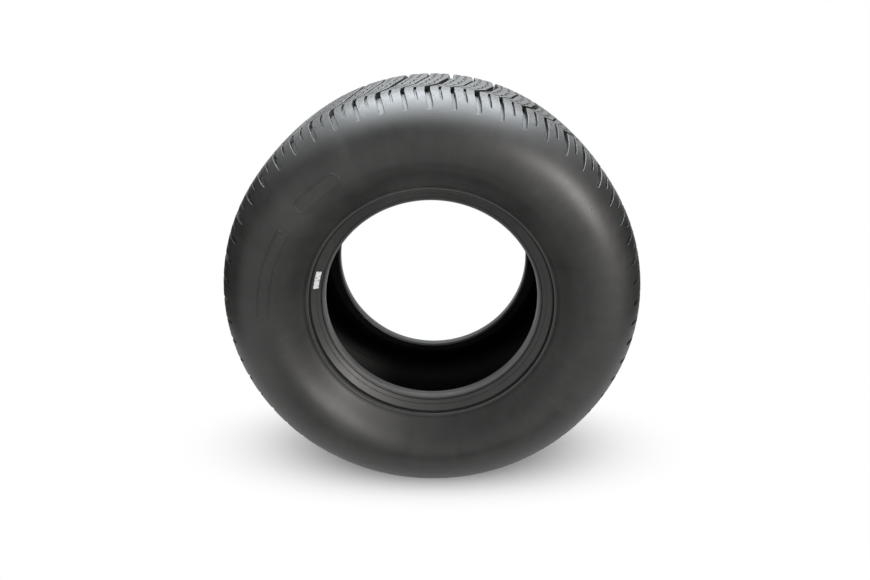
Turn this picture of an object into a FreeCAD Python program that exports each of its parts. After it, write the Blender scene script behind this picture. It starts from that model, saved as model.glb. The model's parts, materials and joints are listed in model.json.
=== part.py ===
import FreeCAD, Part
import math
import os

from FreeCAD import Vector

# A turf tyre for a ride-on lawn mower, off its rim and not inflated, standing on its tread.
# The wheel axis is Y, the origin is the wheel's centre, and Z is up. All sizes are in millimetres.

# Casing, outside
outer_diameter = 750.0        # over the tread blocks at the crown
section_width = 380.0         # across both sidewalls at their widest
widest_diameter = 568.0       # where the sidewalls stand out furthest
rim_line_diameter = 434.0     # thin moulded ring above the rim flange
rim_line_spread = 272.0       # between the two rim line rings

# Tread
tread_width = 314.0           # between the ends of the long shoulder notches
tread_flat_width = 180.0      # nearly flat middle of the tread
flat_drop = 2.5               # fall of the tread from the crown to the edge of the flat
edge_drop = 27.0              # fall of the tread from the crown to the notch ends
groove_depth = 10.0           # at the middle of the tread
notch_end_depth = 4.0         # where the long notches run out on the shoulder
repeats = 29                  # main grooves round the tread
main_groove_width = 9.4
long_notch_width = 6.4
short_notch_width = 4.2
link_groove_width = 4.0       # the narrower groove from a long notch over the tread
short_notch_depth = 4.5       # the short notches are shallower than the rest
short_notch_reach = 140.0     # from the middle of the tread to the end of a short notch
notch_lean = 6.5              # sideways run of a long notch from its bend to its end
notch_bend = 110.0            # from the middle of the tread to the bend of the notches
groove_knee = 60.0            # from the middle of the tread to the bend of a crossing groove
groove_knee_run = 20.0        # run round the tread of a crossing groove from its shoulder to that bend
groove_sweep = 34.0           # its run round the tread from its shoulder to the middle
tread_turn = -0.95            # degrees clockwise from the top to the first main groove
flat_spot = 2.0               # how far the soft tread is pressed in where the tyre stands on it

# Casing, walls
crown_wall = 16.0             # tread and plies together at the crown
shoulder_wall = 15.0
sidewall_wall = 6.5
bead_wall = 15.0              # across the bead below the rim line

# Beads
bead_seat_diameter = 380.2    # seat of a fifteen inch rim
heel_spread = 230.0           # between the outer corners of the two beads
seat_width = 14.0             # cylindrical part of the bead that sits on the rim
heel_round = 3.0
toe_bevel = 3.0
ridge_width = 3.0             # the rim line ring
ridge_height = 1.6

# Paper label stuck on the near bead
label_length = 33.0           # along the bead
label_width = 11.0
label_thickness = 0.3
label_glue = 0.5              # adhesive and slack between the paper and the hollow bead
label_clock = 284.0           # degrees clockwise from the top, seen from the labelled side
label_from_rim_line = 10.0    # down the bead face to the label's outer edge

sewing_gap = 0.001            # joins the repeated pitches of the tread

crown_radius = outer_diameter / 2
pitch = 360.0 / repeats
seat_radius = bead_seat_diameter / 2
flat_edge = (tread_flat_width / 2, crown_radius - flat_drop)
tread_edge = (tread_width / 2, crown_radius - edge_drop)
widest = (section_width / 2, widest_diameter / 2)
rim_line = (rim_line_spread / 2, rim_line_diameter / 2)
heel = (heel_spread / 2, seat_radius + heel_round)
crown_round = (flat_edge[0] ** 2 + flat_drop ** 2) / (2 * flat_drop)
flat_angle = math.asin(flat_edge[0] / crown_round)


def section_point(point):
    return Vector(0, point[0], point[1])


def shifted(point, direction, distance):
    return (point[0] + direction[0] * distance, point[1] + direction[1] * distance)


def unit(start, end):
    run = math.hypot(end[0] - start[0], end[1] - start[1])
    return ((end[0] - start[0]) / run, (end[1] - start[1]) / run)


def spline(points, start_tangent, end_tangent):
    curve = Part.BSplineCurve()
    curve.interpolate(
        Points=[section_point(p) for p in points],
        InitialTangent=section_point(start_tangent),
        FinalTangent=section_point(end_tangent),
    )
    return curve.toShape()


def line(start, end):
    return Part.LineSegment(section_point(start), section_point(end)).toShape()


def mirrored(shape):
    return shape.mirror(Vector(0, 0, 0), Vector(0, 1, 0))


def revolved(edges, angle=360.0):
    face = Part.Face(Part.Wire(Part.__sortEdges__(edges)))
    solid = face.revolve(Vector(0, 0, 0), Vector(0, 1, 0), angle)
    if solid.Volume < 0:
        solid.reverse()
    return solid


# Directions in the section: (sideways, away from the axis)
flat_slope = (math.cos(flat_angle), -math.sin(flat_angle))
to_axis = (0.0, -1.0)
down_bead = unit(rim_line, heel)
off_bead = (-down_bead[1], down_bead[0])
along_shoulder = unit(flat_edge, widest)
into_shoulder = (along_shoulder[1], -along_shoulder[0])


def crown_arc(depth):
    # Half of the nearly flat middle of the tread, or of a surface at some depth below it
    height = crown_radius - depth
    half_turn = flat_angle / 2
    middle = (crown_round * math.sin(half_turn), height - crown_round * (1 - math.cos(half_turn)))
    return Part.Arc(
        section_point((0.0, height)),
        section_point(middle),
        section_point((flat_edge[0], flat_edge[1] - depth)),
    ).toShape()


def casing_half():
    # Outside from the crown down to the toe of the bead, then back up the inside to the crown
    ridge_top = shifted(shifted(rim_line, down_bead, ridge_width / 2), off_bead, ridge_height)
    ridge_foot = shifted(rim_line, down_bead, ridge_width)
    heel_end = (heel[0] - heel_round, seat_radius)
    heel_mid = shifted(
        (heel[0] - heel_round, heel[1]), (math.sqrt(0.5), -math.sqrt(0.5)), heel_round
    )
    toe = (heel_end[0] - seat_width, seat_radius)
    toe_top = (toe[0] - toe_bevel, toe[1] + toe_bevel)
    flat_inside = (flat_edge[0], flat_edge[1] - crown_wall)
    edge_inside = shifted(tread_edge, into_shoulder, shoulder_wall)
    widest_inside = (widest[0] - sidewall_wall, widest[1])
    bead_inside = shifted(rim_line, off_bead, -bead_wall)
    return [
        crown_arc(0.0),
        spline([flat_edge, tread_edge, widest], flat_slope, to_axis),
        spline([widest, rim_line], to_axis, down_bead),
        line(rim_line, ridge_top),
        line(ridge_top, ridge_foot),
        line(ridge_foot, heel),
        Part.Arc(section_point(heel), section_point(heel_mid), section_point(heel_end)).toShape(),
        line(heel_end, toe),
        line(toe, toe_top),
        line(toe_top, bead_inside),
        spline([bead_inside, widest_inside], (-down_bead[0], -down_bead[1]), (0.0, 1.0)),
        spline([widest_inside, edge_inside, flat_inside], (0.0, 1.0), (-flat_slope[0], -flat_slope[1])),
        crown_arc(crown_wall),
    ]


def groove_floor(depth):
    # The body that grooves don't reach into: the tread less their depth at the crown
    floor_flat = (flat_edge[0], flat_edge[1] - depth)
    floor_edge = shifted(tread_edge, into_shoulder, min(depth, notch_end_depth))
    floor_side = shifted(floor_edge, along_shoulder, edge_drop)
    axis_side = (floor_side[0], 0.0)
    half = [
        crown_arc(depth),
        spline([floor_flat, floor_edge, floor_side], flat_slope, along_shoulder),
        line(floor_side, axis_side),
        line(axis_side, (0.0, 0.0)),
    ]
    other_half = [mirrored(edge) for edge in half[:3]]
    other_axis = line((0.0, 0.0), (-axis_side[0], 0.0))
    return revolved(half + other_half + [other_axis])


def cutter(path, width):
    # A channel with a round outer end that follows a path of (sideways, round the tread) points,
    # flat at the crown's height and cut straight towards the axis
    left = []
    right = []
    for index, point in enumerate(path):
        before = path[max(index - 1, 0)]
        after = path[min(index + 1, len(path) - 1)]
        along = unit(before, after)
        left.append(shifted(point, (-along[1], along[0]), width / 2))
        right.append(shifted(point, (along[1], -along[0]), width / 2))
    bottom = crown_radius - edge_drop - groove_depth - shoulder_wall
    height = crown_radius + groove_depth - bottom
    outline = left + right[::-1]
    corners = [Vector(round_run, -side, bottom) for side, round_run in outline]
    edges = [Part.LineSegment(a, b).toShape() for a, b in zip(corners, corners[1:])]
    end_middle = shifted(path[0], unit(path[1], path[0]), width / 2)
    end_arc = Part.Arc(corners[-1], Vector(end_middle[1], -end_middle[0], bottom), corners[0])
    face = Part.Face(Part.Wire(edges + [end_arc.toShape()]))
    return face.extrude(Vector(0, 0, height))


def spun(shape, angle):
    # Turned clockwise seen from the labelled side
    copy = shape.copy()
    copy.rotate(Vector(0, 0, 0), Vector(0, 1, 0), angle)
    return copy


def tread_cutters():
    # The grooves and notches that reach into one pitch of the tread, from both of its sides.
    # Main and long notches of the near side have a groove that crosses to the same kind on the far side.
    notch_start = flat_edge[0] - short_notch_width
    long_end = tread_edge[0] - long_notch_width / 2
    main_end = tread_edge[0] - main_groove_width / 2
    short_end = short_notch_reach - short_notch_width / 2
    short_lean = notch_lean * (short_notch_reach - notch_bend) / (long_end - notch_bend)
    half_pitch_run = math.pi * crown_radius / repeats
    notch_foot = [(notch_bend, 0.0), (notch_start, 0.0)]
    crossing = [
        (groove_knee, groove_knee_run),
        (0.0, groove_sweep),
        (-notch_start - main_groove_width / 2, half_pitch_run),
    ]
    floor = groove_floor(groove_depth)
    main_notch = cutter([(main_end, notch_lean)] + notch_foot, main_groove_width).cut(floor)
    main_groove = cutter([(main_end, notch_lean)] + notch_foot + crossing, main_groove_width).cut(floor)
    long_notch = cutter([(long_end, notch_lean)] + notch_foot, long_notch_width).cut(floor)
    link_groove = cutter(notch_foot[1:] + crossing, link_groove_width).cut(floor)
    short_floor = groove_floor(short_notch_depth)
    short_notch = cutter([(short_end, short_lean)] + notch_foot, short_notch_width).cut(short_floor)
    near_side = []
    far_side = []
    for turn in (-pitch, 0.0, pitch):
        notches = [
            spun(long_notch, turn + pitch / 2),
            spun(short_notch, turn + pitch / 4),
            spun(short_notch, turn + pitch * 3 / 4),
        ]
        near_side += [spun(main_groove, turn), spun(link_groove, turn + pitch / 2)] + notches
        # The notches of the far side are those of the near one, mirrored and moved round by half a pitch
        far_side += [spun(mirrored(shape), pitch / 2) for shape in notches + [spun(main_notch, turn)]]
    return near_side + far_side


def on_pitch_end(face, start):
    # True for the two flat faces where one pitch was parted from its neighbours
    turns = [math.radians(start), math.radians(start + pitch)]
    reach = [[abs(v.X * math.cos(t) - v.Z * math.sin(t)) for v in face.Vertexes] for t in turns]
    return min(max(distances) for distances in reach) < sewing_gap


def ground():
    # What the tyre stands on, up to where it presses the tread flat
    corner = Vector(-crown_radius, -section_width / 2, -2 * crown_radius)
    return Part.makeBox(outer_diameter, section_width, crown_radius + flat_spot, corner)


def make_tyre():
    # One pitch of the tyre is cut and repeated round the axis, and the skins are closed to one solid
    half = casing_half()
    one_pitch = revolved(half + [mirrored(edge) for edge in half], pitch).cut(tread_cutters())
    floor = ground()
    faces = []
    for index in range(repeats):
        start = tread_turn + index * pitch
        piece = spun(one_pitch, start)
        if piece.BoundBox.intersect(floor.BoundBox):
            piece = piece.cut(floor)
        faces.extend(face for face in piece.Faces if not on_pitch_end(face, start))
    shell = Part.makeCompound(faces)
    shell.sewShape(sewing_gap)
    tyre = Part.Solid(shell.Shells[0])
    if tyre.Volume < 0:
        tyre.reverse()
    return tyre


def make_label():
    top = shifted(shifted(rim_line, down_bead, label_from_rim_line), off_bead, label_glue)
    bottom = shifted(top, down_bead, label_width)
    corners = [
        top,
        bottom,
        shifted(bottom, off_bead, label_thickness),
        shifted(top, off_bead, label_thickness),
    ]
    edges = [line(a, b) for a, b in zip(corners, corners[1:] + corners[:1])]
    arc_angle = math.degrees(label_length / ((top[1] + bottom[1]) / 2))
    strip = mirrored(revolved(edges, arc_angle))
    return spun(strip, label_clock - arc_angle / 2)


os.makedirs("parts", exist_ok=True)
nodes = {"tyre": make_tyre(), "bead_label": make_label()}
for name, shape in nodes.items():
    print(name, "valid", shape.isValid(), "solids", len(shape.Solids), "litres", round(shape.Volume / 1e6, 3))
    shape.exportStep("parts/" + name + ".step")
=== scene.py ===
import bpy
import json
import math
import numpy as np
from mathutils import Matrix, Vector
from mathutils.geometry import delaunay_2d_cdt


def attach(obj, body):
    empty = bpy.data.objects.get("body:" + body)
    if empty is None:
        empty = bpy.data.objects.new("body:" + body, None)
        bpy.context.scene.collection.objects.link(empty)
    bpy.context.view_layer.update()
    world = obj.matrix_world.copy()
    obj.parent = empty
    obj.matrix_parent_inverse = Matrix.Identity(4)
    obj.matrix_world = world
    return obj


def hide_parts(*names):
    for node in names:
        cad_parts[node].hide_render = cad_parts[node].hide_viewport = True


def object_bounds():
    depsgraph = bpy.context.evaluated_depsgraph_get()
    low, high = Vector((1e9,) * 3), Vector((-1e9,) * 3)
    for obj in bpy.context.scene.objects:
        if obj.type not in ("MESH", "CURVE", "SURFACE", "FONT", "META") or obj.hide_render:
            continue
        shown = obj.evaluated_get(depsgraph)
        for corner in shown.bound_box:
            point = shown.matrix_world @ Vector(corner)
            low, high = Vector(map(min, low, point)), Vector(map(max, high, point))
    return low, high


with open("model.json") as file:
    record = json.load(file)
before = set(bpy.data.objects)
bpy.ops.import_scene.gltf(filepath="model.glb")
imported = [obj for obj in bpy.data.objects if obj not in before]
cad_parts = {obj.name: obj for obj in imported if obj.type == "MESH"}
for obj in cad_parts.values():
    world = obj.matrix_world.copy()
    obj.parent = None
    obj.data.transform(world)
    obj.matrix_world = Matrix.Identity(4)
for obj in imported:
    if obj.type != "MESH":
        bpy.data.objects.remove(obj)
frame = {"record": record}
cadLow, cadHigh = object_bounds()
mm = 0.001
scene = bpy.context.scene
crownRadius = cadHigh.z                 # the tyre's outer radius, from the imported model
halfWidth = cadHigh.y                   # from the middle of the tread to the widest sidewall
beadSeat = next(m for m in frame["record"]["mounts"] if m["name"] == "bead_seat")
seatRadius = beadSeat["dims"]["r_mm"] * mm
print("frame loaded, outer radius", round(crownRadius, 4), "half width", round(halfWidth, 4))


# Section of the tyre: everything is worked out as (sideways, radius) points

section = {
    "flatHalf": 90.0 * mm, "flatDrop": 2.5 * mm,
    "treadHalf": 157.0 * mm, "edgeDrop": 27.0 * mm,
    "widestRadius": 284.0 * mm,
    "rimLine": (136.0 * mm, 217.0 * mm),
    "heelHalf": 115.0 * mm, "heelRound": 3.0 * mm,
    "seatWidth": 14.0 * mm, "toeBevel": 3.0 * mm,
    "crownWall": 16.0 * mm, "shoulderWall": 15.0 * mm, "sidewallWall": 6.5 * mm, "beadWall": 15.0 * mm,
    "bandEdge": 163.0 * mm,             # where the patterned tread hands over to the sidewall
    "relief": 1.1 * mm,                 # room for what is moulded onto the sidewall at its widest
}


def unit(v):
    v = np.asarray(v, float)
    return v / np.linalg.norm(v)


def hermite(p0, p1, d0, d1, count):
    t = np.linspace(0, 1, count)[:, None]
    return ((2 * t**3 - 3 * t**2 + 1) * p0 + (t**3 - 2 * t**2 + t) * d0
            + (3 * t**2 - 2 * t**3) * p1 + (t**3 - t**2) * d1)


def smoothThrough(points, startDir, endDir, count=160):
    # clamped cubic through two or three points, the same rule as the moulded solid's section
    p = [np.asarray(q, float) for q in points]
    h = [np.linalg.norm(b - a) for a, b in zip(p, p[1:])]
    if len(p) == 2:
        return hermite(p[0], p[1], unit(startDir) * h[0], unit(endDir) * h[0], count)
    a, b = h
    first = -(2 * a + b) / (a * (a + b)) * p[0] + (a + b) / (a * b) * p[1] - a / (b * (a + b)) * p[2]
    last = b / (a * (a + b)) * p[0] - (a + b) / (a * b) * p[1] + (2 * b + a) / (b * (a + b)) * p[2]
    d0 = unit(startDir) * np.linalg.norm(first)
    d2 = unit(endDir) * np.linalg.norm(last)
    d1 = (3 * (a / b * (p[2] - p[1]) + b / a * (p[1] - p[0])) - b * d0 - a * d2) / (2 * (a + b))
    front = hermite(p[0], p[1], d0 * a, d1 * a, count)
    return np.vstack([front, hermite(p[1], p[2], d1 * b, d2 * b, count)[1:]])


def crownArc(depth, count=60):
    # the nearly flat middle of the tread, or a surface at some depth below it
    s = section
    bow = (s["flatHalf"] ** 2 + s["flatDrop"] ** 2) / (2 * s["flatDrop"])
    a = np.linspace(0, math.asin(s["flatHalf"] / bow), count)
    return np.column_stack([bow * np.sin(a), crownRadius - depth - bow * (1 - np.cos(a))])


def sectionLines():
    s = section
    bow = (s["flatHalf"] ** 2 + s["flatDrop"] ** 2) / (2 * s["flatDrop"])
    slope = math.asin(s["flatHalf"] / bow)
    flatDir = np.array([math.cos(slope), -math.sin(slope)])
    flatEdge = np.array([s["flatHalf"], crownRadius - s["flatDrop"]])
    treadEdge = np.array([s["treadHalf"], crownRadius - s["edgeDrop"]])
    widest = np.array([halfWidth - s["relief"], s["widestRadius"]])
    rimLine = np.array(s["rimLine"])
    heel = np.array([s["heelHalf"], seatRadius + s["heelRound"]])
    downBead = unit(heel - rimLine)
    offBead = np.array([-downBead[1], downBead[0]])
    alongShoulder = unit(widest - flatEdge)
    intoShoulder = np.array([alongShoulder[1], -alongShoulder[0]])
    down = np.array([0.0, -1.0])
    heelEnd = np.array([heel[0] - s["heelRound"], seatRadius])
    toe = heelEnd - [s["seatWidth"], 0]
    toeTop = toe + [-s["toeBevel"], s["toeBevel"]]
    beadInside = rimLine - offBead * s["beadWall"]
    widestInside = widest - [s["sidewallWall"], 0]
    edgeInside = treadEdge + intoShoulder * s["shoulderWall"]
    flatInside = flatEdge - [0, s["crownWall"]]
    turn = np.linspace(0, math.pi / 2, 7)[:, None]
    heelCentre = np.array([heelEnd[0], heel[1]])
    heelArc = heelCentre + s["heelRound"] * np.hstack([np.cos(turn), -np.sin(turn)])
    return {
        "tread": np.vstack([crownArc(0.0), smoothThrough([flatEdge, treadEdge, widest], flatDir, down)[1:]]),
        "lower": smoothThrough([widest, rimLine], down, downBead),
        "bead": np.linspace(rimLine, heel, 60),
        "heel": heelArc, "seat": np.array([heelEnd, toe]), "toe": np.array([toe, toeTop]),
        "inBead": np.linspace(toeTop, beadInside, 8),
        "inSide": smoothThrough([beadInside, widestInside], -downBead, -down),
        "inTread": np.vstack([smoothThrough([widestInside, edgeInside, flatInside], -down, -flatDir),
                              crownArc(s["crownWall"])[::-1][1:]]),
        "downBead": downBead, "offBead": offBead,
    }


lines = sectionLines()


def surfaceAt(sideways):
    # point and outward normal of the tread surface at a distance from its middle
    curve = lines["tread"]
    radius = np.interp(sideways, curve[:, 0], curve[:, 1])
    step = 0.2 * mm
    rise = np.interp(sideways + step, curve[:, 0], curve[:, 1]) - np.interp(
        max(sideways - step, 0.0), curve[:, 0], curve[:, 1])
    run = step + min(sideways, step)
    return np.array([sideways, radius]), unit([-rise, run])


# Tread pattern: one pitch, drawn flat in millimetres as (round the tread, sideways), near side negative

tread = {
    "repeats": 29, "turn": -0.95,       # degrees clockwise from the top to the first main groove
    "mainWidth": 9.0, "longWidth": 6.4, "shortWidth": 4.2, "linkWidth": 4.0,
    "shortDepth": 4.5, "roundSteps": 6, "shortPlaces": (0.5, 1.5), "notchOverlap": 2.0,
    "notchStart": 85.8, "notchBend": 110.0, "notchLean": 6.5, "longEnd": 157.0, "shortEnd": 140.0,
    "knee": (60.0, 20.0), "sweep": 34.5, "straight": (20.0, 39.5),
    "depthAlong": [(0.0, 10.0), (92.0, 10.0), (99.0, 7.8), (130.0, 6.2), (157.0, 3.8)],
    "sipeWidth": 2.4, "sipeDepth": 7.0, "sipeSway": 2.4, "sipeStep": 11.0, "sipeSpan": (4.0, 81.4),
    "sipePlaces": (0.33, 0.67, 1.33, 1.67),
    "ringGroove": 82.0, "ringWidth": 1.6, "ringDepth": 2.6, "ringOverrun": 30.0,
    "lips": {"groove": 0.6, "short": 0.4, "link": 0.0, "sipe": 0.0, "ring": 0.0},
    "rows": [0, 20, 40, 60, 78, 86, 92, 98, 105, 112, 119, 126, 133, 140, 147, 153, 158, 163],
    "columns": 10, "firstColumn": -10.2,
}
pitchLength = 2 * math.pi * crownRadius / tread["repeats"]
pitchFlat = pitchLength / mm
levels = {"top": 0, "ring": 1, "short": 2, "sipe": 3, "groove": 4, "link": 4}


def strip(path, width, roundEnd):
    # outline of a channel along a path, with a half-round end at its first point
    path = [np.array(q, float) for q in path]
    left, right = [], []
    for index, point in enumerate(path):
        along = unit(path[min(index + 1, len(path) - 1)] - path[max(index - 1, 0)])
        side = np.array([-along[1], along[0]]) * width / 2
        left.append(point + side)
        right.append(point - side)
    outline = left + right[::-1]
    if roundEnd:
        start = unit(path[0] - path[1])
        across = left[0] - path[0]
        for turn in np.linspace(0, math.pi, tread["roundSteps"] + 1)[1:-1]:
            outline.append(path[0] - across * math.cos(turn) + start * math.sin(turn) * width / 2)
    return np.array(outline)


def treadChannels():
    # every channel that reaches into one pitch, on both sides: kind, outline, outline of its worn lip
    t = tread
    halfPitch = pitchFlat / 2

    def lean(side):
        return t["notchLean"] * max(0.0, side - t["notchBend"]) / (t["longEnd"] - t["notchBend"])

    def notch(end, width):
        last = end - width / 2
        return [(lean(last), last), (0.0, t["notchBend"]), (0.0, t["notchStart"] - t["notchOverlap"])]

    near, far = (-1, 0.0), (1, halfPitch)
    acrossTread = [(0.0, t["notchStart"]), (t["knee"][1], t["knee"][0]), (t["sweep"], 0.0),
                   (t["straight"][1], -t["straight"][0]), (halfPitch, -t["notchStart"] - t["mainWidth"] / 2)]
    mainNotch = notch(t["longEnd"], t["mainWidth"])
    found = [
        ("groove", mainNotch[:2] + acrossTread, t["mainWidth"], 0.0, [near]),
        ("groove", mainNotch, t["mainWidth"], 0.0, [far]),
        ("groove", notch(t["longEnd"], t["longWidth"]), t["longWidth"], halfPitch, [near, far]),
        ("link", acrossTread, t["linkWidth"], halfPitch, [near]),
    ]
    shortNotch = notch(t["shortEnd"], t["shortWidth"])
    for place in t["shortPlaces"]:
        found.append(("short", shortNotch, t["shortWidth"], place * halfPitch, [near, far]))
    sides = np.arange(t["sipeSpan"][0], t["sipeSpan"][1] + 0.1, t["sipeStep"])
    sides[-1] = t["sipeSpan"][1]
    sway = np.where(np.arange(len(sides)) % 2 == 0, 1, -1) * t["sipeSway"]
    nearRun = np.interp(sides, [0.0, t["knee"][0], t["notchStart"]], [t["sweep"], t["knee"][1], 0.0]) + sway
    farRun = np.interp(sides, [0.0, t["notchStart"]], [t["sweep"] - halfPitch, 0.0]) + sway
    for place in t["sipePlaces"]:
        found.append(("sipe", list(zip(nearRun, sides)), t["sipeWidth"], place * halfPitch, [near]))
        found.append(("sipe", list(zip(farRun, sides)), t["sipeWidth"], place * halfPitch, [far]))
    channels = []
    for kind, path, width, offset, facings in found:
        for facing, stagger in facings:
            for copy in (-2, -1, 0, 1):
                moved = [(u + offset + stagger + copy * pitchFlat, facing * side) for u, side in path]
                roundEnd = kind in ("groove", "short")
                lip = strip(moved, width + 2 * t["lips"][kind], roundEnd)
                channels.append((kind, strip(moved, width, roundEnd), lip))
    first = t["firstColumn"] - t["ringOverrun"]
    last = t["firstColumn"] + pitchFlat + t["ringOverrun"]
    for facing in (-1, 1):
        low = facing * t["ringGroove"] - t["ringWidth"] / 2
        high = facing * t["ringGroove"] + t["ringWidth"] / 2
        ring = np.array([(first, low), (last, low), (last, high), (first, high)])
        channels.append(("ring", ring, ring))
    return channels


def counterClockwise(outline):
    x, y = outline[:, 0], outline[:, 1]
    area = np.sum(x * np.roll(y, -1) - np.roll(x, -1) * y)
    return outline if area > 0 else outline[::-1]


def lipDepths(points, channels):
    # how far the worn lips of the channels lower each point of the tread's top
    depth = np.zeros(len(points))
    for kind, outline, _ in channels:
        lip = tread["lips"][kind]
        if lip == 0.0:
            continue
        low, high = outline.min(0) - lip, outline.max(0) + lip
        near = np.nonzero(np.all((points >= low) & (points <= high), axis=1))[0]
        if len(near) == 0:
            continue
        start, step = outline, np.roll(outline, -1, axis=0) - outline
        apart = points[near][:, None, :] - start[None]
        share = np.clip(np.sum(apart * step, axis=2) / np.sum(step * step, axis=1), 0, 1)
        gap = np.linalg.norm(apart - share[:, :, None] * step, axis=2).min(axis=1)
        depth[near] = np.maximum(depth[near], np.maximum(0.0, lip - gap))
    return depth


def treadTile():
    # triangles of one pitch: tops, floors and the walls between them, as flat (round, sideways, radius)
    t = tread
    channels = treadChannels()
    first, last = t["firstColumn"], t["firstColumn"] + pitchFlat
    points, edges, faces, kinds = [], [], [], []

    def addLoop(outline):
        start = len(points)
        points.extend(Vector(q) for q in outline)
        return list(range(start, len(points)))

    for kind, outline, lip in channels:
        faces.append(addLoop(counterClockwise(outline)))
        kinds.append(kind)
        if t["lips"][kind] > 0.0:
            loop = addLoop(lip)
            edges.extend(zip(loop, loop[1:] + loop[:1]))
    rows = sorted({sign * x for x in t["rows"] for sign in (-1, 1)})
    for y in rows:
        edges.append(tuple(addLoop([(first, y), (last, y)])))
    for x in np.linspace(first, last, t["columns"] + 1):
        edges.append(tuple(addLoop([(x, rows[0]), (x, rows[-1])])))
    found, _, cells, _, _, origins = delaunay_2d_cdt(points, edges, faces, 0, 1e-4)
    flat = np.array([tuple(v) for v in found])
    lips = lipDepths(flat, channels)
    grooveDepth = np.interp(np.abs(flat[:, 1]), *np.array(t["depthAlong"]).T)
    kept = []
    for cell, origin in zip(cells, origins):
        middle = flat[list(cell)].mean(axis=0)
        if first < middle[0] < last and rows[0] < middle[1] < rows[-1]:
            kept.append((cell, max([levels[kinds[k]] for k in origin], default=levels["top"])))
    verts, index, out, recess = [], {}, [], []

    def corner(v, level):
        if (v, level) not in index:
            short = min(t["shortDepth"], grooveDepth[v])
            deep = (lips[v], t["ringDepth"], short, t["sipeDepth"], grooveDepth[v])[level] * mm
            narrow = level in (levels["ring"], levels["sipe"])
            # painted shade: this recess value darkens the rubber's colour, narrow rings and sipes in full,
            # other floors by their depth
            recess.append(1.0 if narrow else deep / mm / grooveDepth.max())
            point, normal = surfaceAt(abs(flat[v, 1]) * mm)
            place = point - normal * deep
            index[(v, level)] = len(verts)
            verts.append((flat[v, 0] * mm, math.copysign(place[0], flat[v, 1]), place[1]))
        return index[(v, level)]

    def drop(v, level, other):
        # the corner's points from one level down to another, with any level that meets it between
        return [index[(v, k)] for k in range(level, other + 1) if (v, k) in index]

    sides = {}
    for cell, level in kept:
        out.append([corner(v, level) for v in cell])
        for a, b in zip(cell, cell[1:] + cell[:1]):
            sides[(a, b)] = level
    for (a, b), level in sides.items():
        other = sides.get((b, a), level)
        if level < other:
            out.append(drop(a, level, other) + drop(b, level, other)[::-1])
    ends = []
    for y in (rows[0], rows[-1]):
        row = [v for v in range(len(flat)) if abs(flat[v, 1] - y) < 1e-3 and (v, 0) in index]
        ends.append([index[(v, 0)] for v in sorted(row, key=lambda v: flat[v, 0])])
    return verts, out, ends, recess


# Sidewalls, beads and inside: rows of one pitch, from the edge of the tread round to the inner crown

wall = {
    "columns": 5,
    "rings": [                          # (line, share along it, width, height) of the moulded rings
        ("lower", 0.965, 5.0, -0.8), ("bead", 0.03, 1.5, 1.0), ("bead", 0.14, 5.2, -3.4),
        ("bead", 0.60, 1.6, -0.6), ("bead", 0.88, 2.6, -2.0),
    ],
    "shadeDepth": 2.4, "paleHeight": 1.0,   # a ring this deep gets the full painted shade of a groove, a ring this high the full painted highlight
    "pale": {"bead": -0.12, "heel": -1.0},  # lines of the section painted pale all over: a painted highlight on the heel lip, a slight lightening on the bead face
    "counts": {"shoulder": 10, "lower": 14, "bead": 8, "heel": 5, "seat": 2, "toe": 2,
               "inBead": 3, "inSide": 8, "inTread": 13},
    "outsideLines": 6,                  # how many of these lines, from the first, lie outside the casing
}


def arcLengths(curve):
    return np.concatenate([[0], np.cumsum(np.linalg.norm(np.diff(curve, axis=0), axis=1))])


def ringedLine(name, curve):
    # evenly spaced rows along a line of the section, with extra rows where a ring stands out of it;
    # each with how deep it lies, which sets its painted shade, and below zero its painted highlight
    along = arcLengths(curve)
    total = along[-1]
    rows = {round(x, 6): 0.0 for x in np.linspace(0, total, wall["counts"][name] + 1)}
    for line, share, width, height in wall["rings"]:
        if line != name:
            continue
        middle, reach = share * total, width * mm / 2
        rows = {k: h for k, h in rows.items() if abs(k - middle) > reach * 1.3}
        for part, rise in ((-1, 0), (-0.62, 0.55), (-0.25, 0.94), (0.25, 0.94), (0.62, 0.55), (1, 0)):
            rows[round(middle + part * reach, 6)] = height * mm * rise
    out = []
    for place in sorted(rows):
        point = np.array([np.interp(place, along, curve[:, i]) for i in (0, 1)])
        ahead = np.array([np.interp(place + 0.3 * mm, along, curve[:, i]) for i in (0, 1)])
        behind = np.array([np.interp(place - 0.3 * mm, along, curve[:, i]) for i in (0, 1)])
        along2 = unit(ahead - behind)
        out.append(point + np.array([-along2[1], along2[0]]) * rows[place])
    rises = [rows[place] / mm for place in sorted(rows)]
    # ring crests and pale lines get values below zero: a painted highlight in the rubber's colour
    pale = wall["pale"].get(name, 0.0)
    depths = [-rise / wall["shadeDepth" if rise < 0 else "paleHeight"] if rise else pale for rise in rises]
    return np.array(out), depths


def wallRows():
    upper = lines["tread"]
    start, _ = surfaceAt(section["bandEdge"])
    shoulder = np.vstack([start, upper[upper[:, 0] > section["bandEdge"] + 0.1 * mm]])
    parts = [ringedLine("shoulder", shoulder)]
    for name in ("lower", "bead", "heel", "seat", "toe", "inBead", "inSide", "inTread"):
        points, depths = ringedLine(name, lines[name])
        parts.append((points[1:], depths[1:]))
    insideFrom = sum(len(points) for points, _ in parts[:wall["outsideLines"]])
    return np.vstack([points for points, _ in parts]), sum((depths for _, depths in parts), []), insideFrom


def bridge(rowA, rowB, flatA, flatB):
    # triangles between two rows that have different numbers of points
    faces, a, b = [], 0, 0
    while a < len(rowA) - 1 or b < len(rowB) - 1:
        stepA = a < len(rowA) - 1 and (b == len(rowB) - 1 or flatA[a + 1] <= flatB[b + 1])
        if stepA:
            faces.append((rowA[a], rowA[a + 1], rowB[b]))
            a += 1
        else:
            faces.append((rowA[a], rowB[b + 1], rowB[b]))
            b += 1
    return faces


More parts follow.
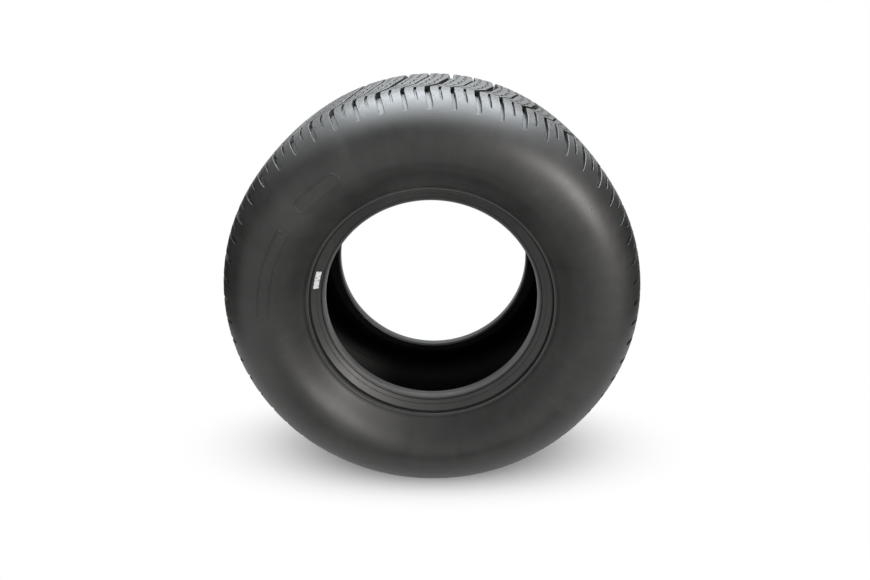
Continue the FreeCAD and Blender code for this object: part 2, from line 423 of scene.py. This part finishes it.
def flatPitch():
    # one pitch of the whole tyre, unrolled: x round the tread, y sideways, z away from the axis
    verts, faces, (nearEnd, farEnd), recess = treadTile()
    liner = [False] * len(faces)

    def addRow(points, depth):
        verts.extend(points)
        recess.extend([depth] * len(points))
        return list(range(len(verts) - len(points), len(verts)))

    profile, depths, insideFrom = wallRows()
    first = tread["firstColumn"] * mm
    across = np.linspace(first, first + pitchLength, wall["columns"] + 1)
    outside = list(zip(profile, depths))
    down = [addRow([(x, p[0], p[1]) for x in across], depth) for p, depth in outside[1:]]
    back = [addRow([(x, -p[0], p[1]) for x in across], depth) for p, depth in outside[-2:0:-1]]
    loop = down + back
    count = len(down)
    for index, (rowA, rowB) in enumerate(zip(loop, loop[1:])):
        depth = index if index < count else 2 * count - 2 - index
        for k in range(len(rowA) - 1):
            faces.append((rowA[k], rowA[k + 1], rowB[k + 1], rowB[k]))
            liner.append(depth >= insideFrom)
    for tri in bridge(farEnd, down[0], [verts[i][0] for i in farEnd], across):
        faces.append(tri)
        liner.append(False)
    for tri in bridge(back[-1], nearEnd, across, [verts[i][0] for i in nearEnd]):
        faces.append(tri)
        liner.append(False)
    mesh = bpy.data.meshes.new("flatPitch")
    mesh.from_pydata([tuple(v) for v in verts], [], faces)
    mark = mesh.attributes.new("liner", "BOOLEAN", "FACE")
    mark.data.foreach_set("value", liner)
    # recess: each point's depth, which the rubber turns into painted shade, and below zero into a painted
    # highlight
    deep = mesh.attributes.new("recess", "FLOAT", "POINT")
    deep.data.foreach_set("value", recess)
    mesh.update()
    return mesh


# Geometry Nodes helpers

def newTree(name, sockets):
    tree = bpy.data.node_groups.new(name, "GeometryNodeTree")
    tree.interface.new_socket("Geometry", in_out="INPUT", socket_type="NodeSocketGeometry")
    for label, kind in sockets:
        tree.interface.new_socket(label, in_out="INPUT", socket_type="NodeSocket" + kind)
    tree.interface.new_socket("Geometry", in_out="OUTPUT", socket_type="NodeSocketGeometry")
    return tree, tree.nodes.new("NodeGroupInput"), tree.nodes.new("NodeGroupOutput")


def mathNode(tree, operation, a, b=None):
    node = tree.nodes.new("ShaderNodeMath")
    node.operation = operation
    for socket, value in zip(node.inputs, (a, b)):
        if value is None:
            continue
        if isinstance(value, bpy.types.NodeSocket):
            tree.links.new(value, socket)
        else:
            socket.default_value = value
    return node.outputs[0]


def applyTree(obj, tree, values):
    # runs a tree on an object and leaves a plain mesh behind
    modifier = obj.modifiers.new(tree.name, "NODES")
    modifier.node_group = tree
    for item in tree.interface.items_tree:
        if item.item_type == "SOCKET" and item.in_out == "INPUT" and item.name in values:
            modifier[item.identifier] = values[item.name]
    obj.data.update()
    graph = bpy.context.evaluated_depsgraph_get()
    mesh = bpy.data.meshes.new_from_object(obj.evaluated_get(graph))
    obj.modifiers.remove(modifier)
    obj.data = mesh


def addObject(name, mesh):
    obj = bpy.data.objects.new(name, mesh)
    scene.collection.objects.link(obj)
    return obj


def rollTree():
    # repeats a flat pitch in a row, rolls the strip up about the wheel axis and welds it;
    # nothing goes below the ground, so the soft tread is pressed flat where the tyre stands
    tree, given, out = newTree("rollPitches", [
        ("Repeats", "Int"), ("Pitch", "Float"), ("Crown Radius", "Float"), ("Turn", "Float"),
        ("Weld", "Float"), ("Ground", "Float"), ("Rubber", "Material"), ("Liner", "Material")])
    link = tree.links.new
    row = tree.nodes.new("GeometryNodeMeshLine")
    link(given.outputs["Repeats"], row.inputs["Count"])
    offset = tree.nodes.new("ShaderNodeCombineXYZ")
    link(given.outputs["Pitch"], offset.inputs["X"])
    link(offset.outputs[0], row.inputs["Offset"])
    copies = tree.nodes.new("GeometryNodeInstanceOnPoints")
    link(row.outputs["Mesh"], copies.inputs["Points"])
    link(given.outputs["Geometry"], copies.inputs["Instance"])
    real = tree.nodes.new("GeometryNodeRealizeInstances")
    link(copies.outputs[0], real.inputs[0])
    place = tree.nodes.new("GeometryNodeInputPosition")
    parts = tree.nodes.new("ShaderNodeSeparateXYZ")
    link(place.outputs[0], parts.inputs[0])
    turn = mathNode(tree, "DIVIDE", parts.outputs["X"], given.outputs["Crown Radius"])
    turn = mathNode(tree, "ADD", turn, given.outputs["Turn"])
    rolled = tree.nodes.new("ShaderNodeCombineXYZ")
    link(mathNode(tree, "MULTIPLY", parts.outputs["Z"], mathNode(tree, "SINE", turn)), rolled.inputs["X"])
    link(parts.outputs["Y"], rolled.inputs["Y"])
    height = mathNode(tree, "MULTIPLY", parts.outputs["Z"], mathNode(tree, "COSINE", turn))
    link(mathNode(tree, "MAXIMUM", height, given.outputs["Ground"]), rolled.inputs["Z"])
    roll = tree.nodes.new("GeometryNodeSetPosition")
    link(real.outputs[0], roll.inputs["Geometry"])
    link(rolled.outputs[0], roll.inputs["Position"])
    weld = tree.nodes.new("GeometryNodeMergeByDistance")
    link(roll.outputs[0], weld.inputs["Geometry"])
    link(given.outputs["Weld"], weld.inputs["Distance"])
    rubber = tree.nodes.new("GeometryNodeSetMaterial")
    link(weld.outputs[0], rubber.inputs["Geometry"])
    link(given.outputs["Rubber"], rubber.inputs["Material"])
    mark = tree.nodes.new("GeometryNodeInputNamedAttribute")
    mark.data_type = "BOOLEAN"
    mark.inputs["Name"].default_value = "liner"
    liner = tree.nodes.new("GeometryNodeSetMaterial")
    link(rubber.outputs[0], liner.inputs["Geometry"])
    link(mark.outputs["Attribute"], liner.inputs["Selection"])
    link(given.outputs["Liner"], liner.inputs["Material"])
    link(liner.outputs[0], out.inputs[0])
    return tree


# Materials

def newMaterial(name, roughness, specular):
    material = bpy.data.materials.new(name)
    material.use_nodes = True
    shader = material.node_tree.nodes["Principled BSDF"]
    shader.inputs["Roughness"].default_value = roughness
    shader.inputs["Specular IOR Level"].default_value = specular
    return material, material.node_tree, shader


def mouldGroup():
    # dust film, smudges and fine moulded grain, from the piece's own coordinates
    group = bpy.data.node_groups.new("mouldedFilm", "ShaderNodeTree")
    group.interface.new_socket("Vector", in_out="INPUT", socket_type="NodeSocketVector")
    for label in ("Dust Scale", "Grain Scale", "Contrast"):
        group.interface.new_socket(label, in_out="INPUT", socket_type="NodeSocketFloat")
    for label in ("Dust", "Grain", "Streak"):
        group.interface.new_socket(label, in_out="OUTPUT", socket_type="NodeSocketFloat")
    given, out = group.nodes.new("NodeGroupInput"), group.nodes.new("NodeGroupOutput")
    link = group.links.new

    def noise(where, scale, detail, rough):
        node = group.nodes.new("ShaderNodeTexNoise")
        link(where, node.inputs["Vector"])
        if isinstance(scale, bpy.types.NodeSocket):
            link(scale, node.inputs["Scale"])
        else:
            node.inputs["Scale"].default_value = scale
        node.inputs["Detail"].default_value = detail
        node.inputs["Roughness"].default_value = rough
        return node.outputs["Fac"]

    flat = given.outputs["Vector"]
    cloudy = noise(flat, given.outputs["Dust Scale"], 6.0, 0.62)
    link(mathNode(group, "POWER", cloudy, given.outputs["Contrast"]), out.inputs["Dust"])
    link(noise(flat, given.outputs["Grain Scale"], 3.0, 0.6), out.inputs["Grain"])
    level = group.nodes.new("ShaderNodeVectorMath")
    level.operation = "MULTIPLY"
    level.inputs[1].default_value = (1.0, 0.0, 1.0)
    link(flat, level.inputs[0])
    outward = group.nodes.new("ShaderNodeVectorMath")
    outward.operation = "NORMALIZE"
    link(level.outputs["Vector"], outward.inputs[0])
    link(noise(outward.outputs["Vector"], 16.0, 4.0, 0.7), out.inputs["Streak"])
    return group


mould = mouldGroup()


def placeMould(tree, film):
    # film: dust scale, grain scale and contrast
    where = tree.nodes.new("ShaderNodeTexCoord")
    node = tree.nodes.new("ShaderNodeGroup")
    node.node_tree = mould
    tree.links.new(where.outputs["Object"], node.inputs["Vector"])
    for label, value in zip(("Dust Scale", "Grain Scale", "Contrast"), film):
        node.inputs[label].default_value = value
    return where.outputs["Object"], node


def setRange(node, label, ends):
    node.inputs[label + " Min"].default_value = ends[0]
    node.inputs[label + " Max"].default_value = ends[1]


def addBump(tree, shader, height, distance, strength):
    bump = tree.nodes.new("ShaderNodeBump")
    bump.inputs["Distance"].default_value = distance
    bump.inputs["Strength"].default_value = strength
    tree.links.new(height, bump.inputs["Height"])
    tree.links.new(bump.outputs[0], shader.inputs["Normal"])


def rampNode(tree, value, stops):
    ramp = tree.nodes.new("ShaderNodeValToRGB")
    tree.links.new(value, ramp.inputs[0])
    while len(ramp.color_ramp.elements) < len(stops):
        ramp.color_ramp.elements.new(0.5)
    for element, (at, colour) in zip(ramp.color_ramp.elements, stops):
        element.position = at
        element.color = (*colour, 1.0)
    return ramp.outputs["Color"]


rubberLook = {
    "dark": (0.018, 0.0177, 0.0168), "worn": (0.030, 0.0296, 0.0284), "dusty": (0.050, 0.0492, 0.047),
    "stops": (0.12, 0.42, 0.75),        # how much dust each of these three colours stands for
    # painted highlight: a pale colour mixed in where the recess value is below zero, on ring crests and the
    # heel lip
    "paintedHighlight": (0.115, 0.114, 0.112), "paintedHighlightMap": (0.0, -1.0),
    # painted shade: a near-black colour and duller finish mixed into grooves, sipes and ring dips by their
    # recess value
    "shade": (0.004, 0.004, 0.004), "shadeDepths": (0.78, 0.98), "shadeRoughness": 0.85,
    "film": (9.0, 520.0, 1.6), "streak": 0.35, "roughDust": (0.1, 0.7), "roughness": (0.40, 0.57),
    "specular": 0.42, "grainHeight": 0.0004, "ringHeight": 0.00001, "ringsPerMetre": 260.0, "bump": 0.35,
}


def mouldedRubber():
    look = rubberLook
    material, tree, shader = newMaterial("mouldedRubber", look["roughness"][0], look["specular"])
    link = tree.links.new
    where, film = placeMould(tree, look["film"])
    centred = mathNode(tree, "SUBTRACT", film.outputs["Streak"], 0.5)
    streak = mathNode(tree, "MULTIPLY", centred, look["streak"])
    dust = mathNode(tree, "ADD", film.outputs["Dust"], streak)
    surface = rampNode(tree, dust, list(zip(look["stops"], (look["dark"], look["worn"], look["dusty"]))))
    # painted shade: the recess attribute darkens grooves, sipes and ring dips towards the shade colour
    recess = tree.nodes.new("ShaderNodeAttribute")
    recess.attribute_name = "recess"
    deep = tree.nodes.new("ShaderNodeMapRange")
    deep.interpolation_type = "SMOOTHSTEP"
    setRange(deep, "From", look["shadeDepths"])
    link(recess.outputs["Fac"], deep.inputs["Value"])
    shaded = tree.nodes.new("ShaderNodeMix")
    shaded.data_type = "RGBA"
    link(deep.outputs[0], shaded.inputs["Factor"])
    link(surface, shaded.inputs["A"])
    shaded.inputs["B"].default_value = (*look["shade"], 1.0)
    # painted highlight: where the recess value is below zero, on ring crests and the heel lip, the colour
    # turns pale
    paintedHighlightMap = tree.nodes.new("ShaderNodeMapRange")
    setRange(paintedHighlightMap, "From", look["paintedHighlightMap"])
    link(recess.outputs["Fac"], paintedHighlightMap.inputs["Value"])
    paintedHighlight = tree.nodes.new("ShaderNodeMix")
    paintedHighlight.data_type = "RGBA"
    link(paintedHighlightMap.outputs[0], paintedHighlight.inputs["Factor"])
    link(shaded.outputs["Result"], paintedHighlight.inputs["A"])
    paintedHighlight.inputs["B"].default_value = (*look["paintedHighlight"], 1.0)
    link(paintedHighlight.outputs["Result"], shader.inputs["Base Color"])
    rough = tree.nodes.new("ShaderNodeMapRange")
    link(dust, rough.inputs["Value"])
    setRange(rough, "From", look["roughDust"])
    setRange(rough, "To", look["roughness"])
    dulled = mathNode(tree, "MULTIPLY", deep.outputs[0], look["shadeRoughness"])
    link(mathNode(tree, "MAXIMUM", rough.outputs[0], dulled), shader.inputs["Roughness"])
    parts = tree.nodes.new("ShaderNodeSeparateXYZ")
    link(where, parts.inputs[0])
    square = mathNode(tree, "ADD", mathNode(tree, "POWER", parts.outputs["X"], 2.0),
                      mathNode(tree, "POWER", parts.outputs["Z"], 2.0))
    radius = mathNode(tree, "SQRT", square)
    turned = mathNode(tree, "SINE", mathNode(tree, "MULTIPLY", radius, look["ringsPerMetre"] * 2 * math.pi))
    rings = mathNode(tree, "MULTIPLY", turned, look["ringHeight"])
    grain = mathNode(tree, "MULTIPLY", film.outputs["Grain"], look["grainHeight"])
    addBump(tree, shader, mathNode(tree, "ADD", rings, grain), 1.0, look["bump"])
    return material


linerLook = {
    "dark": (0.002, 0.002, 0.002), "worn": (0.006, 0.006, 0.006), "stops": (0.2, 0.8),
    "film": (14.0, 300.0, 1.4), "roughness": 0.6, "specular": 0.2,
    "ribsPerMetre": 170.0, "ribHeight": 0.0002, "bump": 0.4,
}


def linerRubber():
    look = linerLook
    material, tree, shader = newMaterial("linerRubber", look["roughness"], look["specular"])
    link = tree.links.new
    where, film = placeMould(tree, look["film"])
    surface = rampNode(tree, film.outputs["Dust"], list(zip(look["stops"], (look["dark"], look["worn"]))))
    link(surface, shader.inputs["Base Color"])
    parts = tree.nodes.new("ShaderNodeSeparateXYZ")
    link(where, parts.inputs[0])
    across = mathNode(tree, "MULTIPLY", parts.outputs["Y"], look["ribsPerMetre"] * 2 * math.pi)
    ribs = mathNode(tree, "MULTIPLY", mathNode(tree, "SINE", across), look["ribHeight"])
    addBump(tree, shader, ribs, 1.0, look["bump"])
    return material


paperLook = {
    "stops": [(0.3, (0.45, 0.45, 0.45)), (0.42, (0.93, 0.93, 0.92)), (0.8, (0.95, 0.95, 0.94))],
    "film": (160.0, 1400.0, 1.2), "roughness": 0.7, "specular": 0.3, "fibreHeight": 0.0003, "bump": 0.3,
}


def labelPaper():
    look = paperLook
    material, tree, shader = newMaterial("labelPaper", look["roughness"], look["specular"])
    _, film = placeMould(tree, look["film"])
    tree.links.new(rampNode(tree, film.outputs["Dust"], look["stops"]), shader.inputs["Base Color"])
    addBump(tree, shader, film.outputs["Grain"], look["fibreHeight"], look["bump"])
    return material


rubber = mouldedRubber()
liner = linerRubber()
paper = labelPaper()
print("materials ready")


# The tyre

finish = {"weld": 0.004 * mm, "sharpFrom": 38.0}    # degrees between faces that meet in a sharp edge


def buildTyre():
    obj = addObject("turf_tyre", flatPitch())
    applyTree(obj, rollTree(), {
        "Repeats": tread["repeats"], "Pitch": pitchLength, "Crown Radius": crownRadius,
        "Turn": math.radians(tread["turn"]), "Weld": finish["weld"], "Ground": cadLow.z,
        "Rubber": rubber, "Liner": liner})
    obj.data.polygons.foreach_set("use_smooth", [True] * len(obj.data.polygons))
    obj.data.set_sharp_from_angle(angle=math.radians(finish["sharpFrom"]))
    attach(obj, "root")
    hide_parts("tyre")
    return obj


tyre = buildTyre()
print("tyre built,", len(tyre.data.polygons), "faces")


# Things moulded or stuck onto the near sidewall, placed by clock angle (clockwise from the top) and radius

def onWall(clock, radius, lift):
    # point and outward normal on the near outside of the casing
    outer = np.vstack([lines["tread"][60:], lines["lower"][1:], lines["bead"][1:]])
    at = np.interp(-radius, -outer[:, 1], np.arange(len(outer)))
    index = int(np.clip(at, 1, len(outer) - 2))
    side = np.interp(at, np.arange(len(outer)), outer[:, 0])
    along = unit(outer[index + 1] - outer[index - 1])
    outward = np.array([-along[1], along[0]])
    turn = math.radians(clock)
    spin = Vector((math.sin(turn), 0.0, math.cos(turn)))
    normal = spin * outward[1] + Vector((0.0, -outward[0], 0.0))
    place = spin * radius + Vector((0.0, -side, 0.0))
    return place + normal * lift, normal


label = {"clock": 284.0, "length": 33.0 * mm, "width": 11.0 * mm, "thickness": 0.3 * mm,
         "fromRimLine": 10.0 * mm, "glue": 0.5 * mm, "steps": (22, 6),
         "curl": 0.5 * mm, "curlFrom": 0.42}    # the share of the length beyond which an end lifts


def buildLabel():
    s = label
    rimLine = np.array(section["rimLine"])
    middle = rimLine + lines["downBead"] * (s["fromRimLine"] + s["width"] / 2)
    verts, faces = [], []
    across, down = s["steps"]
    for layer in (s["glue"] + s["thickness"], s["glue"]):
        for j in range(down + 1):
            for i in range(across + 1):
                u, v = i / across - 0.5, j / down - 0.5
                lift = layer + s["curl"] * max(0.0, abs(u) - s["curlFrom"]) * 2 * (0.6 + v)
                point = middle + lines["downBead"] * v * s["width"] + lines["offBead"] * lift
                turn = math.radians(s["clock"]) + u * s["length"] / middle[1]
                verts.append((point[1] * math.sin(turn), -point[0], point[1] * math.cos(turn)))
    sheet = (across + 1) * (down + 1)

    def corner(i, j, low):
        return j * (across + 1) + i + (sheet if low else 0)

    for j in range(down):
        for i in range(across):
            quad = [(i, j), (i + 1, j), (i + 1, j + 1), (i, j + 1)]
            faces.append([corner(a, b, False) for a, b in quad][::-1])
            faces.append([corner(a, b, True) for a, b in quad])
    edge = [(i, 0) for i in range(across)] + [(across, j) for j in range(down)]
    edge += [(i, down) for i in range(across, 0, -1)] + [(0, j) for j in range(down, 0, -1)]
    for (a, b), (c, d) in zip(edge, edge[1:] + edge[:1]):
        faces.append([corner(a, b, False), corner(c, d, False), corner(c, d, True), corner(a, b, True)])
    mesh = bpy.data.meshes.new("bead_label_paper")
    mesh.from_pydata(verts, [], faces)
    mesh.materials.append(paper)
    obj = addObject("bead_label_paper", mesh)
    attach(obj, "root")
    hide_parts("bead_label")


frames = {
    "plates": [                         # clock from, clock to, inner radius, outer radius, corner
        (312.5, 330.0, 274.0 * mm, 298.0 * mm, 11.5 * mm),
        (270.5, 303.5, 274.5 * mm, 292.5 * mm, 4.0 * mm),
    ],
    "ribRadius": 1.4 * mm, "sunk": 0.4 * mm, "sides": 8, "step": 2.0 * mm,
}


def plateOutline(clockFrom, clockTo, inner, outer, corner):
    # a rounded rectangle bent round the sidewall
    middle = (inner + outer) / 2
    half = np.array([math.radians(clockTo - clockFrom) * middle / 2, (outer - inner) / 2])
    flat = []
    for quarter, (sx, sy) in enumerate(((1, 1), (-1, 1), (-1, -1), (1, -1))):
        for turn in np.linspace(quarter * math.pi / 2, (quarter + 1) * math.pi / 2, 7):
            flat.append((sx * (half[0] - corner) + corner * math.cos(turn),
                         sy * (half[1] - corner) + corner * math.sin(turn)))
    points = []
    for a, b in zip(flat, flat[1:] + flat[:1]):
        steps = max(1, int(math.dist(a, b) / frames["step"]))
        points += [tuple(np.array(a) + (np.array(b) - a) * k / steps) for k in range(steps)]
    clock = (clockFrom + clockTo) / 2
    return [onWall(clock + math.degrees(u / middle), middle + v, -frames["sunk"])[0] for u, v in points]


def ribTree():
    # a round rib along every edge loop it is given
    tree, given, out = newTree("mouldedRib", [
        ("Rib Radius", "Float"), ("Sides", "Int"), ("Rubber", "Material")])
    link = tree.links.new
    curve = tree.nodes.new("GeometryNodeMeshToCurve")
    link(given.outputs["Geometry"], curve.inputs["Mesh"])
    ring = tree.nodes.new("GeometryNodeCurvePrimitiveCircle")
    link(given.outputs["Sides"], ring.inputs["Resolution"])
    link(given.outputs["Rib Radius"], ring.inputs["Radius"])
    rib = tree.nodes.new("GeometryNodeCurveToMesh")
    link(curve.outputs[0], rib.inputs["Curve"])
    link(ring.outputs["Curve"], rib.inputs["Profile Curve"])
    real = tree.nodes.new("GeometryNodeRealizeInstances")
    link(rib.outputs[0], real.inputs[0])
    paint = tree.nodes.new("GeometryNodeSetMaterial")
    link(real.outputs[0], paint.inputs["Geometry"])
    link(given.outputs["Rubber"], paint.inputs["Material"])
    link(paint.outputs[0], out.inputs[0])
    return tree


def buildFrames():
    verts, edges = [], []
    for plate in frames["plates"]:
        outline = plateOutline(*plate)
        first = len(verts)
        verts += [tuple(v) for v in outline]
        edges += [(first + k, first + (k + 1) % len(outline)) for k in range(len(outline))]
    mesh = bpy.data.meshes.new("sidewall_frames")
    mesh.from_pydata(verts, edges, [])
    obj = addObject("sidewall_frames", mesh)
    applyTree(obj, ribTree(), {"Rib Radius": frames["ribRadius"], "Sides": frames["sides"], "Rubber": rubber})
    obj.data.polygons.foreach_set("use_smooth", [True] * len(obj.data.polygons))
    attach(obj, "root")


pins = {
    "rows": [                           # how many round each side, radius, first clock, length
        (29, 322.0 * mm, 3.0, 1.6 * mm), (17, 246.0 * mm, 9.0, 2.2 * mm), (23, 216.0 * mm, 5.0, 3.4 * mm),
        (116, 370.9 * mm, 0.6, 0.9 * mm), (58, 364.5 * mm, 0.6, 0.9 * mm),
    ],
    "radius": 0.55 * mm, "sides": 7, "lean": 0.5, "seed": 4,
}


def pinTree():
    # a short trimmed moulding pin on every point, leaning a little its own way
    tree, given, out = newTree("mouldingPins", [
        ("Pin Radius", "Float"), ("Sides", "Int"), ("Lean", "Float"), ("Seed", "Int"),
        ("Rubber", "Material")])
    link = tree.links.new
    points = tree.nodes.new("GeometryNodeMeshToPoints")
    link(given.outputs["Geometry"], points.inputs["Mesh"])
    pin = tree.nodes.new("GeometryNodeMeshCylinder")
    link(given.outputs["Sides"], pin.inputs["Vertices"])
    link(given.outputs["Pin Radius"], pin.inputs["Radius"])
    pin.inputs["Depth"].default_value = 1.0
    facing = tree.nodes.new("GeometryNodeInputNamedAttribute")
    facing.data_type = "FLOAT_VECTOR"
    facing.inputs["Name"].default_value = "facing"
    stray = tree.nodes.new("FunctionNodeRandomValue")
    stray.data_type = "FLOAT_VECTOR"
    stray.inputs[0].default_value = (-1.0, -1.0, -1.0)
    stray.inputs[1].default_value = (1.0, 1.0, 1.0)
    link(given.outputs["Seed"], stray.inputs["Seed"])
    scaled = tree.nodes.new("ShaderNodeVectorMath")
    scaled.operation = "SCALE"
    link(stray.outputs[0], scaled.inputs[0])
    link(given.outputs["Lean"], scaled.inputs["Scale"])
    leaning = tree.nodes.new("ShaderNodeVectorMath")
    leaning.operation = "ADD"
    link(facing.outputs["Attribute"], leaning.inputs[0])
    link(scaled.outputs[0], leaning.inputs[1])
    turn = tree.nodes.new("FunctionNodeAlignEulerToVector")
    turn.axis = "Z"
    link(leaning.outputs[0], turn.inputs["Vector"])
    length = tree.nodes.new("GeometryNodeInputNamedAttribute")
    length.data_type = "FLOAT"
    length.inputs["Name"].default_value = "pinLength"
    size = tree.nodes.new("ShaderNodeCombineXYZ")
    size.inputs["X"].default_value = 1.0
    size.inputs["Y"].default_value = 1.0
    link(length.outputs["Attribute"], size.inputs["Z"])
    copies = tree.nodes.new("GeometryNodeInstanceOnPoints")
    link(points.outputs[0], copies.inputs["Points"])
    link(pin.outputs["Mesh"], copies.inputs["Instance"])
    link(turn.outputs[0], copies.inputs["Rotation"])
    link(size.outputs[0], copies.inputs["Scale"])
    real = tree.nodes.new("GeometryNodeRealizeInstances")
    link(copies.outputs[0], real.inputs[0])
    paint = tree.nodes.new("GeometryNodeSetMaterial")
    link(real.outputs[0], paint.inputs["Geometry"])
    link(given.outputs["Rubber"], paint.inputs["Material"])
    link(paint.outputs[0], out.inputs[0])
    return tree


def buildPins():
    places, facing, lengths = [], [], []
    for count, radius, first, length in pins["rows"]:
        for k in range(count):
            point, normal = onWall(first + 360 * k / count, radius, 0.0)
            for side in (1, -1):
                places.append((point.x, point.y * side, point.z))
                facing += [normal.x, normal.y * side, normal.z]
                lengths.append(length)
    mesh = bpy.data.meshes.new("vent_pins")
    mesh.from_pydata(places, [], [])
    mesh.attributes.new("facing", "FLOAT_VECTOR", "POINT").data.foreach_set("vector", facing)
    mesh.attributes.new("pinLength", "FLOAT", "POINT").data.foreach_set("value", lengths)
    obj = addObject("vent_pins", mesh)
    applyTree(obj, pinTree(), {"Pin Radius": pins["radius"], "Sides": pins["sides"], "Lean": pins["lean"],
                               "Seed": pins["seed"], "Rubber": rubber})
    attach(obj, "root")


buildLabel()
buildFrames()
buildPins()
print("label, frames and pins built")


# Floor, light and camera

studio = {
    "floorSize": 30.0, "floorColour": (0.93, 0.93, 0.93), "ambient": 0.95,
    "fadeShape": (0.4, 1.0, 0.0), "fade": (0.08, 0.228),    # the shadow fades to white away from the tyre
    "lamps": [                          # name, place, size, watts, colour, lights matt surfaces too
        ("softTop", (0.15, -0.3, 2.4), (2.6, 2.2), 14.0, (1.0, 1.0, 1.0), True),
        ("softSky", (0.0, 0.4, 1.7), (2.0, 1.5), 98.0, (0.88, 0.95, 1.0), False),
        ("softBack", (0.1, 1.3, 1.9), (2.4, 1.0), 45.0, (0.88, 0.95, 1.0), False),
        ("softRight", (1.42, -1.3, 0.75), (0.3, 0.5), 38.0, (1.0, 0.96, 0.92), False),
    ],
    "flags": [                          # black cards beside, before and above the set: four corners each
        [(-0.85, -0.3, -0.37), (-0.85, 0.8, -0.37), (-0.85, 0.8, 0.53), (-0.85, -0.3, 0.53)],
        [(0.95, -0.3, -0.37), (0.95, 0.8, -0.37), (0.95, 0.8, 0.53), (0.95, -0.3, 0.53)],
        [(-1.0, -1.15, 1.05), (0.2, -1.15, 1.05), (0.2, -0.68, 1.42), (-1.0, -0.68, 1.42)],
        [(-1.0, -1.15, 1.05), (-1.0, -0.68, 1.42), (-1.45, -0.25, 0.75), (-1.5, -0.7, 0.35)],
        [(-0.35, -0.62, -0.368), (0.35, -0.62, -0.368), (0.35, -0.36, -0.368), (-0.35, -0.36, -0.368)],
    ],
}
shot = {"focal": 720.0, "azimuth": 0.67, "elevation": 23.22, "distance": 1388.1 * mm,
        "centreRight": -2.6, "centreUp": 10.64, "imageWidth": 870.0, "sensor": 36.0}


def seenRays(tree):
    # camera, glossy and transmission rays, which see the white background
    path = tree.nodes.new("ShaderNodeLightPath")
    seen = mathNode(tree, "MAXIMUM", path.outputs["Is Camera Ray"], path.outputs["Is Glossy Ray"])
    return mathNode(tree, "MAXIMUM", seen, path.outputs["Is Transmission Ray"])


def buildStudio():
    s = studio
    half = s["floorSize"] / 2
    mesh = bpy.data.meshes.new("floor")
    z = cadLow.z
    corners = [(-half, -half, z), (half, -half, z), (half, half, z), (-half, half, z)]
    mesh.from_pydata(corners, [], [(0, 1, 2, 3)])
    floor = addObject("floor", mesh)
    material, tree, shader = newMaterial("paleFloor", 0.9, 0.0)
    shader.inputs["Base Color"].default_value = (*s["floorColour"], 1.0)
    seen = seenRays(tree)
    where = tree.nodes.new("ShaderNodeTexCoord")
    away = tree.nodes.new("ShaderNodeVectorMath")
    away.operation = "LENGTH"
    flat = tree.nodes.new("ShaderNodeVectorMath")
    flat.operation = "MULTIPLY"
    flat.inputs[1].default_value = s["fadeShape"]
    tree.links.new(where.outputs["Object"], flat.inputs[0])
    tree.links.new(flat.outputs["Vector"], away.inputs[0])
    fade = tree.nodes.new("ShaderNodeMapRange")
    fade.interpolation_type = "SMOOTHSTEP"
    setRange(fade, "From", s["fade"])
    tree.links.new(away.outputs["Value"], fade.inputs["Value"])
    white = tree.nodes.new("ShaderNodeEmission")
    mix = tree.nodes.new("ShaderNodeMixShader")
    tree.links.new(mathNode(tree, "MULTIPLY", fade.outputs[0], seen), mix.inputs[0])
    tree.links.new(shader.outputs[0], mix.inputs[1])
    tree.links.new(white.outputs[0], mix.inputs[2])
    tree.links.new(mix.outputs[0], tree.nodes["Material Output"].inputs["Surface"])
    mesh.materials.append(material)
    world = bpy.data.worlds.new("studioWorld")
    scene.world = world
    world.use_nodes = True
    back = world.node_tree.nodes["Background"]
    back.inputs["Color"].default_value = (1, 1, 1, 1)
    strength = world.node_tree.nodes.new("ShaderNodeMapRange")
    world.node_tree.links.new(seenRays(world.node_tree), strength.inputs["Value"])
    setRange(strength, "To", (s["ambient"], 1.0))
    world.node_tree.links.new(strength.outputs[0], back.inputs["Strength"])
    for name, place, size, watts, colour, matt in s["lamps"]:
        lamp = bpy.data.lights.new(name, "AREA")
        lamp.shape = "RECTANGLE"
        lamp.size, lamp.size_y = size
        lamp.energy = watts
        lamp.color = colour
        obj = bpy.data.objects.new(name, lamp)
        scene.collection.objects.link(obj)
        obj.location = place
        obj.rotation_euler = (-Vector(place)).to_track_quat("-Z", "Y").to_euler()
        obj.visible_diffuse = matt
    black, _, shader = newMaterial("flagCloth", 1.0, 0.0)
    shader.inputs["Base Color"].default_value = (0.0, 0.0, 0.0, 1.0)
    for index, corners in enumerate(s["flags"]):
        mesh = bpy.data.meshes.new("flag")
        mesh.from_pydata(corners, [], [(0, 1, 2, 3)])
        mesh.materials.append(black)
        flag = addObject("flag" + str(index), mesh)
        flag.visible_camera = False
        flag.visible_diffuse = False
        flag.visible_shadow = False
        flag.visible_transmission = False
    scene.view_settings.view_transform = "Standard"


def buildCamera():
    s = shot
    azimuth, elevation = math.radians(s["azimuth"]), math.radians(s["elevation"])
    level = math.cos(elevation)
    back = Vector((math.sin(azimuth) * level, -math.cos(azimuth) * level, math.sin(elevation)))
    right = Vector((math.cos(azimuth), math.sin(azimuth), 0.0))
    up = back.cross(right)
    scale = s["distance"] / s["focal"]
    data = bpy.data.cameras.new("photoView")
    data.sensor_width = s["sensor"]
    data.lens = s["sensor"] * s["focal"] / s["imageWidth"]
    data.clip_start, data.clip_end = 0.05, 60.0
    camera = bpy.data.objects.new("photoView", data)
    scene.collection.objects.link(camera)
    place = back * s["distance"] - right * s["centreRight"] * scale - up * s["centreUp"] * scale
    turn = Matrix((right, up, back)).transposed()
    camera.matrix_world = Matrix.Translation(place) @ turn.to_4x4()
    scene.camera = camera


buildStudio()
buildCamera()
print("studio and camera ready")
